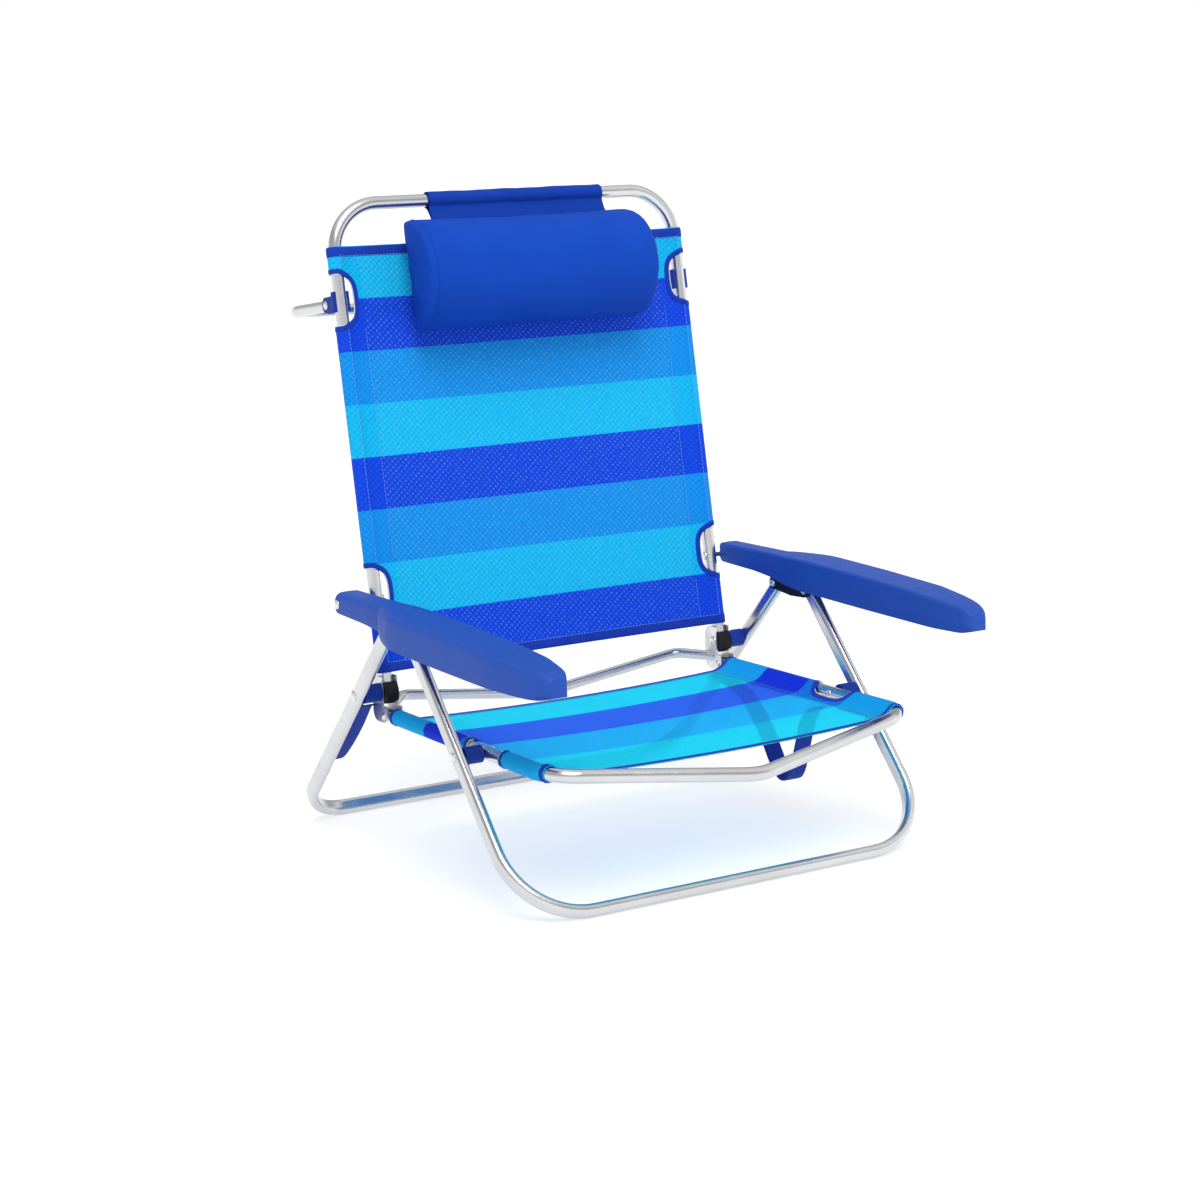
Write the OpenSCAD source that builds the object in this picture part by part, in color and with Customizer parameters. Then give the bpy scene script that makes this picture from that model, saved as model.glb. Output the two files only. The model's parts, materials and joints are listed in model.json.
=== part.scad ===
// Folding beach chair: two crossed leg frames, a slung seat and back, notched armrests,
// a flip-over head pillow, a swing-out towel rail and carrying straps.
// Millimetres, +Z up. The sitter faces -Y and the sitter's left is +X.

/* [Frame] */
// Outside diameter of the seat and back tubes
tube_d = 16; // [14:0.5:17]
// Wall of every tube
tube_wall = 1.2; // [1:0.1:1.5]
// Distance between the axes of the two seat tubes
tube_spacing = 472; // [472:0.5:474]
// Height of the seat tubes' axes above the floor
seat_height = 165; // [164:0.5:165]
// Height of the rear pivot, where the back and the rear legs turn
hinge_height = 193; // [193:0.5:194]
// Lean of the back from upright
back_lean = 9; // [8.8:0.1:9.2]
// Length of the back from the rear pivot to the top tube's axis
back_length = 577; // [570:1:584]

/* [Legs] */
// Width of the flat oval leg tube
leg_w = 12; // [11:0.5:12]
// Depth of the flat oval leg tube
leg_h = 20; // [18:0.5:20]
// Bend radius of the front leg frame
front_bend_r = 85; // [70:1:90]
// Bend radius of the rear leg frame
rear_bend_r = 62; // [55:1:80]

/* [Armrests] */
// Height of the armrest's top above the floor
arm_top = 315; // [315:0.5:316]
// Wall of the moulded armrest
arm_wall = 2.6; // [2:0.1:2.6]

/* [Soft parts] */
// Length of the head pillow
pillow_w = 324; // [300:1:330]
// Thickness of the woven fabric
cloth_t = 1.2; // [1:0.1:1.4]
// Width of the strap webbing
strap_w = 30; // [26:1:32]

/* [Hidden] */
$fn = 48;

silver = "gainsboro";
navy = "navy";
mid_blue = "royalblue";
soot = "dimgray";

// The model's middle lies this far behind the point that the lengths below are measured from
centre_y = 82.5;

tube_x = tube_spacing / 2;
tube_r = tube_d / 2;
bolt_r = 3;
hole_r = 3.05;
rivet_r = 2.5;
head_h = 2.5;

// Rear pivot, front pivot, and the armrest's pivot on the back tube, each as [y, z]
rear_pivot = [185.5, hinge_height];
front_pivot = [-62, seat_height];
back_dir = [sin(back_lean), cos(back_lean)];
arm_pivot = rear_pivot + 109.3 * back_dir;

// Leg frames: direction from the pivot to the floor, and lengths each way from the pivot
front_foot = [-201, 8.7];
rear_foot = [373, 8.9];
front_dir = (front_foot - front_pivot) / norm(front_foot - front_pivot);
rear_dir = (rear_foot - rear_pivot) / norm(rear_foot - rear_pivot);
front_reach = norm(front_foot - front_pivot);
rear_reach = norm(rear_foot - rear_pivot);
front_top_len = 146;
rear_top_len = 118;
front_leg_x = 272;
rear_leg_x = 274;
front_top = front_pivot - front_top_len * front_dir;
rear_top = rear_pivot - rear_top_len * rear_dir;

plate_t = 2;
plate_gap = 0.4;
plate_in_x = tube_x - tube_r - plate_gap;
plate_out_x = tube_x + tube_r + plate_gap;
bracket_t = 3.2;
bracket_x = front_leg_x - leg_w / 2 - 0.2 - bracket_t;

// Seat: rear end of its tubes, front corner, and the dip in the middle of the front bar
seat_rear_y = 196;
seat_front_y = -202;
seat_dip = [0, -252, seat_height - 25];

// Fabric panels, as distances along the seat or up the back
seat_cloth = [-193, 164];
back_cloth = [22, 527.5];
seat_sleeves = [-166, 164];
back_sleeves = [22, 516];
seat_notch = [-107, -28];
back_notch_low = [84, 149];
back_notch_high = [432, 497];
notch_depth = 27;
sleeve_r = tube_r + 0.1 + cloth_t;

// Towel rail: pivot on the clips, and its far bar, as [y, z]
rail_pivot = [291, 645];
rail_bar = [451, 628];
rail_d = 14;
rail_x = 225.5;
clip_s = (rail_pivot[1] - hinge_height) * cos(back_lean)
    + (rail_pivot[0] - rear_pivot[0]) * sin(back_lean);

pillow_x = 6;
pillow_s = 487;
pillow_r = 69;
pillow_back = 10.5;

// ---------- helpers ----------

module placed() { translate([0, -centre_y, 0]) children(); }

module on_side(side) { mirror([side > 0 ? 0 : 1, 0, 0]) children(); }

module both() {
    children();
    mirror([1, 0, 0]) children();
}

// Places children in the back's own frame: x across, y forwards out of the back, z up it
module on_back() {
    translate([0, rear_pivot[0], rear_pivot[1]]) rotate([-back_lean, 0, 0])
        mirror([0, 1, 0]) children();
}

// A round bar along x, from x0 to x1, at [y, z]
module crosswise(x0, x1, at, r) {
    translate([x0, at[0], at[1]]) rotate([0, 90, 0]) cylinder(h = x1 - x0, r = r);
}

// A plate of thickness t along x from x0, whose outline is drawn with y across and z up
module plate(x0, t) {
    translate([x0, 0, 0]) rotate([90, 0, 90]) linear_extrude(t) children();
}

// A bolt or rivet along x with a low head at each end
module headed(x0, x1, at, r, head_r) {
    crosswise(x0 - head_h, x1 + head_h, at, r);
    crosswise(x0 - head_h, x0 - 0.05, at, head_r);
    crosswise(x1 + 0.05, x1 + head_h, at, head_r);
}

module oval(w, h) {
    if (h > w) square([w, h - w], center = true);
    for (side = [-1, 1]) translate([0, side * (h - w) / 2]) circle(d = w);
}

// How far a straight runs into its bend, and how much fatter the bend is
lap = 0.8;
hair = 0.08;

function unit(v) = v / norm(v);
function turn_at(p, i) = acos(unit(p[i] - p[i - 1]) * unit(p[i + 1] - p[i]));
function reach_at(p, r, i) = (i == 0 || i == len(p) - 1) ? 0 : r[i] * tan(turn_at(p, i) / 2);
function normal_at(p, i) = unit(cross(p[i] - p[i - 1], p[i + 1] - p[i]));

// Moves the x and y axes onto two square directions, with the origin at o
module axes(x, y, o) {
    z = cross(x, y);
    multmatrix([[x[0], y[0], z[0], o[0]], [x[1], y[1], z[1], o[1]], [x[2], y[2], z[2], o[2]]])
        children();
}

// A solid bar bent round the corners of the route p with bend radii r, of section w by h.
// The bends are a hair fatter than the straights, which run a little way into them.
module bent_bar(p, r, w, h) {
    last = len(p) - 1;
    for (i = [0 : last - 1]) {
        d = unit(p[i + 1] - p[i]);
        n = normal_at(p, min(max(i, 1), last - 1));
        start = reach_at(p, r, i) - (i > 0 ? lap : 0);
        end = norm(p[i + 1] - p[i]) - reach_at(p, r, i + 1) + (i < last - 1 ? lap : 0);
        axes(cross(n, d), n, p[i] + start * d) linear_extrude(end - start) oval(w, h);
    }
    for (i = [1 : last - 1]) {
        d = unit(p[i] - p[i - 1]);
        n = normal_at(p, i);
        inward = cross(n, d);
        centre = p[i] - reach_at(p, r, i) * d + r[i] * inward;
        axes(-inward, d, centre) rotate_extrude(angle = turn_at(p, i))
            translate([r[i], 0]) oval(w + hair, h + hair);
    }
}

// The route p with both ends carried on by e
function longer(p, e) = [for (i = [0 : len(p) - 1])
    i == 0 ? p[0] + e * unit(p[0] - p[1])
    : i == len(p) - 1 ? p[i] + e * unit(p[i] - p[i - 1]) : p[i]];

// A tube along the route p
module bent_tube(p, r, w, h) {
    difference() {
        bent_bar(p, r, w, h);
        bent_bar(longer(p, 1), r, w - 2 * tube_wall, h - 2 * tube_wall);
    }
}

// ---------- frame tubes ----------

module seat_frame_tube() {
    corner = [tube_x, seat_front_y, seat_height - 0.07];
    rear = [tube_x, seat_rear_y, seat_height];
    flip = [[-1, 0, 0], [0, 1, 0], [0, 0, 1]];
    route = [rear, corner, seat_dip, flip * corner, flip * rear];
    color(silver) placed() difference() {
        bent_tube(route, [0, 42, 70, 42, 0], tube_d, tube_d);
        both() crosswise(tube_x - tube_d, tube_x + tube_d, front_pivot, hole_r);
        both() crosswise(tube_x - tube_d, tube_x + tube_d, [176, seat_height], rivet_r + 0.05);
    }
}

module rear_crossbar() {
    x_end = plate_in_x - plate_t - 0.1;
    bar_d = 13;
    flip = [[-1, 0, 0], [0, 1, 0], [0, 0, 1]];
    end = [x_end, 191, 173.5];
    bend = [196, 229, 175.5];
    past = bend + 1.4 * (end - bend);
    color(silver) placed() difference() {
        bent_tube([past, bend, [0, 229, 150], flip * bend, flip * past], [0, 22, 70, 22, 0], bar_d, bar_d);
        both() translate([x_end, 150, 140]) cube([40, 80, 60]);
    }
}

// A leg frame: both legs and the floor bar between them, in the plane of x and dir
module leg_frame(pivot, dir, top_len, foot_len, half_w, bend_r, past_top) {
    function at(x, s) = [x, pivot[0] + s * dir[0], pivot[1] + s * dir[1]];
    route = [at(half_w, -top_len - past_top), at(half_w, foot_len),
        at(-half_w, foot_len), at(-half_w, -top_len - past_top)];
    difference() {
        bent_tube(route, [0, bend_r, bend_r, 0], leg_w, leg_h);
        both() crosswise(half_w - leg_w, half_w + leg_w, pivot, hole_r);
        both() crosswise(half_w - leg_w, half_w + leg_w, pivot - top_len * dir, hole_r);
    }
}

module front_leg_tube() {
    color(silver) placed()
        leg_frame(front_pivot, front_dir, front_top_len, front_reach, front_leg_x, front_bend_r, 5);
}

module rear_leg_tube() {
    color(silver) placed()
        leg_frame(rear_pivot, rear_dir, rear_top_len, rear_reach, rear_leg_x, rear_bend_r, 4);
}

module back_frame_tube() {
    foot = [tube_x, 0, -12];
    corner = [tube_x, 0, back_length];
    flip = [[-1, 0, 0], [0, 1, 0], [0, 0, 1]];
    color(silver) placed() difference() {
        on_back() bent_tube([foot, corner, flip * corner, flip * foot], [0, 60, 60, 0], tube_d, tube_d);
        both() crosswise(tube_x - tube_d, tube_x + tube_d, rear_pivot, hole_r);
        both() crosswise(tube_x - tube_d, tube_x + tube_d, arm_pivot, hole_r);
    }
}

module towel_rail_tube() {
    end = [rail_x, rail_pivot[0], rail_pivot[1]];
    corner = [rail_x, rail_bar[0], rail_bar[1]];
    eye_r = rail_d / 2 + 1;
    eye_w = rail_d - 1;
    flip = [[-1, 0, 0], [0, 1, 0], [0, 0, 1]];
    color(silver) placed() difference() {
        union() {
            bent_tube([end, corner, flip * corner, flip * end], [0, 52, 52, 0], rail_d, rail_d);
            both() crosswise(rail_x - eye_w / 2, rail_x + eye_w / 2, rail_pivot, eye_r);
        }
        both() crosswise(rail_x - rail_d, rail_x + rail_d, rail_pivot, hole_r);
    }
}

// ---------- hinges ----------

// Pressed plate: a foot on the seat tube and a narrower upright that leaves the front of the hinge open
module hinge_outline() {
    corner_r = 12;
    half_w = 18.5;
    upright_w = 8;
    low = seat_height - tube_r;
    high = rear_pivot[1] + 19;
    foot_top = seat_height + 11.5;
    difference() {
        union() {
            for (y = [-1, 1], z = [low + corner_r, high - corner_r])
                translate([rear_pivot[0] + y * (half_w - corner_r), z]) circle(r = corner_r);
            translate([rear_pivot[0] - half_w, low + corner_r])
                square([2 * half_w, high - low - 2 * corner_r]);
            translate([rear_pivot[0] - half_w + corner_r, low])
                square([2 * half_w - 2 * corner_r, high - low]);
        }
        translate([rear_pivot[0] - 2 * half_w, foot_top]) square([2 * half_w - upright_w, high]);
    }
}

module hinge_plate(side, x0) {
    color(silver) placed() on_side(side) difference() {
        plate(x0, plate_t) hinge_outline();
        crosswise(x0 - 1, x0 + plate_t + 1, rear_pivot, hole_r);
        crosswise(x0 - 1, x0 + plate_t + 1, [176, seat_height], rivet_r + 0.05);
    }
}

// Moulded stop that fills the front of the hinge, saddled on the back tube
module hinge_insert(side) {
    width = tube_d - 0.6;
    color(soot) placed() on_side(side) on_back() difference() {
        translate([tube_x - width / 2, 0, 0]) rotate([0, 90, 0]) cylinder(h = width, r = 17);
        translate([tube_x, 0, -30]) cylinder(h = 60, r = tube_r + 0.1);
        translate([tube_x - 15, 0, 0]) rotate([0, 90, 0]) cylinder(h = 30, r = bolt_r + 0.3);
        translate([tube_x - 15, -30, -30]) cube([30, 31, 60]);
        translate([tube_x - 15, -1, 11]) cube([30, 30, 30]);
        translate([tube_x - 15, -1, -42]) cube([30, 30, 30]);
    }
}

// Cap in the open end of a tube, pointing down z
module tube_plug() {
    translate([0, 0, -2.4]) cylinder(h = 2.3, r = tube_r - 0.2);
    translate([0, 0, -0.5]) cylinder(h = 7.5, r = tube_r - tube_wall - 0.15);
}

module seat_tube_plug(side) {
    color(soot) placed() on_side(side) translate([tube_x, seat_rear_y, seat_height])
        rotate([90, 0, 0]) tube_plug();
}

module back_tube_plug(side) {
    color(soot) placed() on_side(side) on_back() translate([tube_x, 0, -12])
        tube_plug();
}

module spacer(side, x0, x1, at, r) {
    color(navy) placed() on_side(side) difference() {
        crosswise(x0, x1, at, r);
        crosswise(x0 - 1, x1 + 1, at, hole_r);
    }
}

module rear_spacer(side) {
    spacer(side, plate_out_x + plate_t + 0.1, rear_leg_x - leg_w / 2 - 0.1, rear_pivot, 11);
}

module front_spacer(side) {
    spacer(side, tube_x + tube_r + 0.1, front_leg_x - leg_w / 2 - 0.1, front_pivot, 10);
}

module rear_pivot_bolts() {
    color(silver) placed() both()
        headed(plate_in_x - plate_t, rear_leg_x + leg_w / 2, rear_pivot, bolt_r, 6.5);
}

module front_pivot_bolts() {
    color(silver) placed() both()
        headed(tube_x - tube_r, front_leg_x + leg_w / 2, front_pivot, bolt_r, 6);
}

module plate_rivets() {
    color(silver) placed() both()
        headed(plate_in_x - plate_t, plate_out_x + plate_t, [176, seat_height], rivet_r, 4.5);
}

// ---------- leg brackets ----------

module bracket_outline() {
    sag = [(front_top[0] + rear_top[0]) / 2 - 6, 272];
    hull() {
        translate(front_top) circle(r = 9);
        translate(sag) circle(r = 8);
    }
    hull() {
        translate(rear_top) circle(r = 7.5);
        translate(sag) circle(r = 8);
    }
    hull() {
        translate(front_top) circle(r = 7);
        translate(rear_top) circle(r = 7);
    }
}

module leg_bracket(side) {
    color(soot) placed() on_side(side) difference() {
        plate(bracket_x, bracket_t) bracket_outline();
        crosswise(bracket_x - 1, bracket_x + bracket_t + 1, front_top, hole_r);
        crosswise(bracket_x - 1, bracket_x + bracket_t + 1, rear_top, hole_r);
    }
}

// Full rivets at the front legs, and short studs at the rear, where the linkage is open
module bracket_rivets() {
    stud_end = rear_leg_x - leg_w / 2 - 0.4;
    color(silver) placed() both() {
        headed(bracket_x, front_leg_x + leg_w / 2, front_top, bolt_r, 5);
        crosswise(bracket_x - head_h, stud_end, rear_top, bolt_r);
        crosswise(bracket_x - head_h, bracket_x - 0.05, rear_top, 5);
    }
}

module rear_leg_rivets() {
    color(silver) placed() both() {
        crosswise(rear_leg_x - leg_w / 2 + 0.2, rear_leg_x + leg_w / 2 + head_h, rear_top, bolt_r);
        crosswise(rear_leg_x + leg_w / 2 + 0.05, rear_leg_x + leg_w / 2 + head_h, rear_top, 5);
    }
}

// ---------- armrests ----------

arm_rear = arm_pivot[0] + 10;
arm_tip = -293;
arm_in_x = 254;

// Plan of the armrest, inset by e: a narrow rear stub that flares into a broad tapering rest
module arm_plan(e) {
    polygon([[arm_in_x + 1 + e, arm_rear - e], [arm_in_x + 33 - e, arm_rear - e],
        [arm_in_x + 33 - e, 88], [arm_in_x + 44 - e, 66], [306 - e, 40], [307 - e, 10],
        [306 - e, -80], [305 - e, -192], [296 - e, -262], [288 - e, -285], [282 - e, arm_tip + e],
        [261 + e, arm_tip + e], [256 + e, -284], [250 + e, -240], [250 + e, -180], [250 + e, 60],
        [arm_in_x + e, 100]]);
}

// Side of the armrest, inset by e at the top and the ends and open below when e is above 0
module arm_side(e) {
    drop = e > 0 ? 10 : 0;
    polygon([[arm_rear - 9 - e, 290.4 - drop], [arm_rear - e, 299 - drop],
        [arm_rear - e, arm_top - 5 - e], [arm_rear - 5 - e, arm_top - e],
        [20, arm_top - e], [-90, arm_top - 4 - e], [-192, arm_top - 9 - e],
        [-240, arm_top - 13 - e], [-283, arm_top - 18 - e], [arm_tip + e, arm_top - 24 - e],
        [arm_tip + e, 270 - drop], [-284, 267.5 - drop],
        [-230, 268 - drop], [-100, 271.5 - drop], [30, 276 - drop], [66, 281 - drop], [130, 288 - drop]]);
}

module arm_block(e) {
    intersection() {
        translate([0, 0, 200]) linear_extrude(200) arm_plan(e);
        plate(240, 80) arm_side(e);
    }
}

module armrest(side) {
    color(mid_blue) placed() on_side(side) difference() {
        arm_block(0);
        arm_block(arm_wall);
        crosswise(240, 320, arm_pivot, hole_r);
    }
}

// Rack under the armrest: its notches take the leg tops at each reclining position
module arm_rack(side) {
    rack_z = 286.2;
    rack_y = [14, 116];
    rack_top = arm_top - 4.2 - arm_wall;
    pitch = 21;
    color(soot) placed() on_side(side) difference() {
        translate([264, rack_y[0], rack_z]) cube([16, rack_y[1] - rack_y[0], rack_top - rack_z]);
        for (i = [0 : 4]) crosswise(260, 290, [rack_y[0] + 9 + i * pitch, rack_z + 1], 6);
    }
}

module arm_pivot_bolts() {
    color(silver) placed() both() {
        headed(tube_x - tube_r, arm_in_x + 33, arm_pivot, bolt_r, 5.5);
        crosswise(tube_x + tube_r + 0.1, arm_in_x + 0.4, arm_pivot, 6);
    }
}

// ---------- towel rail fittings ----------

module towel_clip(side) {
    clip_h = 24;
    open_from = 4;
    color(navy) placed() on_side(side) difference() {
        union() {
            on_back() translate([tube_x, 0, clip_s - clip_h / 2]) cylinder(h = clip_h, r = tube_r + 2.8);
            crosswise(tube_x - 3.2, tube_x + 4.5, rail_pivot, 9.5);
            on_back() translate([tube_x - 3.2, -30, clip_s - 11]) cube([7.7, 28, 20]);
        }
        on_back() translate([tube_x - tube_d, open_from, clip_s - clip_h])
            cube([2 * tube_d, tube_d, 2 * clip_h]);
        on_back() translate([tube_x, 0, clip_s - clip_h]) cylinder(h = 2 * clip_h, r = tube_r + 0.1);
        crosswise(tube_x - 10, tube_x + 10, rail_pivot, hole_r);
    }
}

module towel_rail_rivets() {
    color(silver) placed() both()
        headed(rail_x - rail_d / 2 - 0.1, tube_x + 4.5, rail_pivot, bolt_r, 5.5);
}

// ---------- fabric ----------

// Slung panel: sleeves round two tubes that run along y, with notches cut out of the edges.
// It is narrower beyond the sleeves, where the tubes start to bend
module slung_panel(span, sleeves, notches) {
    between = tube_x - 22;
    difference() {
        union() {
            both() translate([tube_x, sleeves[1], 0]) rotate([90, 0, 0])
                cylinder(h = sleeves[1] - sleeves[0], r = sleeve_r);
            translate([-tube_x, sleeves[0], -cloth_t / 2])
                cube([2 * tube_x, sleeves[1] - sleeves[0], cloth_t]);
            translate([-between, span[0], -cloth_t / 2])
                cube([2 * between, span[1] - span[0], cloth_t]);
        }
        both() translate([tube_x, span[1] + 1, 0]) rotate([90, 0, 0])
            cylinder(h = span[1] - span[0] + 2, r = tube_r + 0.1);
        for (n = notches) both() translate([tube_x + sleeve_r - notch_depth, n[0], -20])
            cube([notch_depth + 5, n[1] - n[0], 40]);
    }
}

module seat_fabric() {
    color("deepskyblue") placed() translate([0, 0, seat_height])
        slung_panel(seat_cloth, seat_sleeves, [seat_notch]);
}

module back_fabric() {
    color("deepskyblue") placed() on_back() rotate([90, 0, 0])
        slung_panel(back_cloth, back_sleeves, [back_notch_low, back_notch_high]);
}

module pillow() {
    color("steelblue") placed() on_back() difference() {
        translate([pillow_x - pillow_w / 2, pillow_back - 2, pillow_s]) rotate([0, 90, 0])
            cylinder(h = pillow_w, r = pillow_r);
        translate([-250, pillow_back - 100, pillow_s - 100]) cube([500, 100, 200]);
    }
}

// Loop of fabric round the top tube that carries the pillow
module pillow_sleeve() {
    loop_r = tube_r + 3;
    x0 = -109;
    x1 = 133;
    color("mediumblue") placed() on_back() difference() {
        union() {
            translate([x0, 0, back_length]) rotate([0, 90, 0]) cylinder(h = x1 - x0, r = loop_r);
            translate([x0, loop_r - 2, back_length - 29]) cube([x1 - x0, 2, 29]);
            translate([x0, loop_r - 2, back_length - 30]) cube([x1 - x0, 12, 4]);
        }
        translate([x0 - 1, 0, back_length]) rotate([0, 90, 0])
            cylinder(h = x1 - x0 + 2, r = loop_r - cloth_t);
        translate([x0 - 1, pillow_back - 2, pillow_s]) rotate([0, 90, 0])
            cylinder(h = x1 - x0 + 2, r = pillow_r + 0.2);
    }
}

// ---------- carrying straps ----------

// Direction square to the route at point i
function side_at(p, i) = let (a = p[max(i - 1, 0)], b = p[min(i + 1, len(p) - 1)], d = unit(b - a))
    [-d[1], d[0]];

// Flat webbing w wide along a smooth route of [y, z] points, centred on x
module webbing(x, w, route) {
    t = 1.8;
    steps = 4;
    last = len(route) - 1;
    function smooth(a, b, c, d, f) = 0.5 * (2 * b + f * (c - a) + f * f * (2 * a - 5 * b + 4 * c - d)
        + f * f * f * (3 * b - a - 3 * c + d));
    line = [for (i = [0 : last - 1], k = [0 : steps - 1])
        smooth(route[max(i - 1, 0)], route[i], route[i + 1], route[min(i + 2, last)], k / steps)];
    count = len(line);
    plate(x - w / 2, w) polygon(concat(
        [for (i = [0 : count - 1]) line[i] + t / 2 * side_at(line, i)],
        [for (i = [count - 1 : -1 : 0]) line[i] - t / 2 * side_at(line, i)]));
}

// The left strap hangs in a slack V from the rear hinge to the front pivot
module strap_left() {
    color(navy) placed() difference() {
        webbing(216, strap_w - 6, [[166, 154], [140, 151], [98, 140], [60, 108], [32, 68], [16, 52],
            [0, 51], [-12, 66], [-24, 100], [-38, 134], [-56, 150]]);
        translate([216, 160, 145]) cylinder(h = 15, r = rivet_r + 0.1);
    }
}

// The right strap is looped under the rear spacer and hangs in a slack loop behind it
module strap_right() {
    color(navy) placed() webbing(-257.2, strap_w - 11,
        [[190, 178], [204, 174], [217, 161], [233, 144], [258, 121], [283, 101], [299, 92], [306, 95],
            [301, 104], [284, 118], [261, 140], [235, 165], [216, 184], [201, 196]]);
}

module strap_rivets() {
    color(silver) placed() {
        translate([216, 160, 150.2]) cylinder(h = 5.6, r = rivet_r);
    }
}

seat_frame_tube();
rear_crossbar();
front_leg_tube();
rear_leg_tube();
back_frame_tube();
towel_rail_tube();
hinge_plate(-1, plate_in_x - plate_t);  // hinge_plate_inner_right
hinge_plate(1, plate_in_x - plate_t);  // hinge_plate_inner_left
hinge_plate(-1, plate_out_x);  // hinge_plate_outer_right
hinge_plate(1, plate_out_x);  // hinge_plate_outer_left
hinge_insert(-1);  // hinge_insert_right
hinge_insert(1);  // hinge_insert_left
seat_tube_plug(-1);  // seat_tube_plug_right
seat_tube_plug(1);  // seat_tube_plug_left
back_tube_plug(-1);  // back_tube_plug_right
back_tube_plug(1);  // back_tube_plug_left
rear_spacer(-1);  // rear_spacer_right
rear_spacer(1);  // rear_spacer_left
front_spacer(-1);  // front_spacer_right
front_spacer(1);  // front_spacer_left
rear_pivot_bolts();
front_pivot_bolts();
plate_rivets();
leg_bracket(-1);  // leg_bracket_right
leg_bracket(1);  // leg_bracket_left
bracket_rivets();
rear_leg_rivets();
armrest(-1);  // armrest_right
armrest(1);  // armrest_left
arm_rack(-1);  // arm_rack_right
arm_rack(1);  // arm_rack_left
arm_pivot_bolts();
towel_clip(-1);  // towel_clip_right
towel_clip(1);  // towel_clip_left
towel_rail_rivets();
seat_fabric();
back_fabric();
pillow();
pillow_sleeve();
strap_right();
strap_left();
strap_rivets();
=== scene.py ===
import json
import math

import bmesh
import bpy
from mathutils import Matrix, Vector
from mathutils.bvhtree import BVHTree


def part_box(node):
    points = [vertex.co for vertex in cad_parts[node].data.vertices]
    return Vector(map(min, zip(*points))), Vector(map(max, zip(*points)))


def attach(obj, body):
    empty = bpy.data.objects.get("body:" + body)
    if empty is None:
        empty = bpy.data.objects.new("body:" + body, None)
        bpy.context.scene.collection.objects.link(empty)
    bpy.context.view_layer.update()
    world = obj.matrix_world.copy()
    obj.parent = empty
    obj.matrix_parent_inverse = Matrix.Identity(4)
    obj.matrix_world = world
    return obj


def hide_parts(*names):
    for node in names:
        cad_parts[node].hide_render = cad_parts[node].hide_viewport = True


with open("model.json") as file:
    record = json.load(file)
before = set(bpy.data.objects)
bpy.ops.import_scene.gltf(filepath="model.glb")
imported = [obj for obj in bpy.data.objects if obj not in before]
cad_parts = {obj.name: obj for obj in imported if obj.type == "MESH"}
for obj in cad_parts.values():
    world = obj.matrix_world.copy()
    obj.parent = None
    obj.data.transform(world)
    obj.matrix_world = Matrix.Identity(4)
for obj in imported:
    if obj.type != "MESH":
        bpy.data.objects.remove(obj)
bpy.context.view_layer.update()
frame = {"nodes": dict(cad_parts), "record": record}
record = frame["record"]

# ---------- places, all from the frame ----------

JOINT = {j["name"]: Vector(j["pos_m"]) for j in record["behaviour"]["joints"]}
REAR = JOINT["recline"]
TOP = JOINT["pillow_flip"]
FRONT = JOINT["front_leg_fold"]
ARM = JOINT["arm_fold"]
RAIL = JOINT["towel_rail_swing"]
UP_BACK = (TOP - REAR).normalized()
OUT_BACK = Vector((0, -UP_BACK.z, UP_BACK.y))

SOURCE_REAR_Y = 0.1855  # the rear pivot's y in the part's source, before its centring move
SHIFT_Y = REAR.y - SOURCE_REAR_Y
X_AXIS = Vector((1, 0, 0))

TUBE_R = 0.008
PLUG_R = 0.0078
TUBE_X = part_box("back_frame_tube")[1].x - TUBE_R
SEAT_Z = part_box("seat_tube_plug_left")[0].z + PLUG_R


def at(x, y, z):
    """A point given in millimetres, with y as in the part's source, in the row frame."""
    return Vector((x / 1000, y / 1000 + SHIFT_Y, z / 1000))


# ---------- camera, floor and lights ----------

CAMERA_PLACE = (-1518.8, -2510.6, 825.3)  # millimetres, for at()
CAMERA_TURN = (-30.37, 10.14, -2.07)  # azimuth, elevation and roll in degrees
CAMERA_LENS = 76.86  # millimetres
SENSOR = 36  # millimetres
FLOOR_SIZE = 400  # metres
FLOOR_GLOW = 0.6
# The studio's brightness by height: 0 is the horizon and 1 is straight up
WORLD_STOPS = ((0.0, 1.0), (0.14, 1.0), (0.26, 0.5), (0.6, 0.45), (0.78, 0.85), (1.0, 0.85))


def make_camera():
    """The photo's camera, from a perspective fit of the chair's tubes and pivots."""
    az, el, roll = (math.radians(a) for a in CAMERA_TURN)
    behind = Vector((math.sin(az) * math.cos(el), -math.cos(az) * math.cos(el), math.sin(el)))
    level_right = Vector((math.cos(az), math.sin(az), 0))
    level_up = behind.cross(level_right)
    right = level_right * math.cos(roll) + level_up * math.sin(roll)
    up = level_up * math.cos(roll) - level_right * math.sin(roll)
    data = bpy.data.cameras.new("camera")
    data.sensor_width = SENSOR
    data.lens = CAMERA_LENS
    camera = bpy.data.objects.new("camera", data)
    turn = Matrix((right, up, behind)).transposed()
    camera.matrix_world = Matrix.Translation(at(*CAMERA_PLACE)) @ turn.to_4x4()
    bpy.context.collection.objects.link(camera)
    bpy.context.scene.camera = camera


def sun(name, direction, strength, spread):
    """A broad soft light that falls the same everywhere, shining from direction."""
    data = bpy.data.lights.new(name, "SUN")
    data.energy = strength
    data.angle = math.radians(spread)
    lamp = bpy.data.objects.new(name, data)
    lamp.rotation_euler = (-Vector(direction)).to_track_quat("-Z", "Y").to_euler()
    bpy.context.collection.objects.link(lamp)


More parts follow.
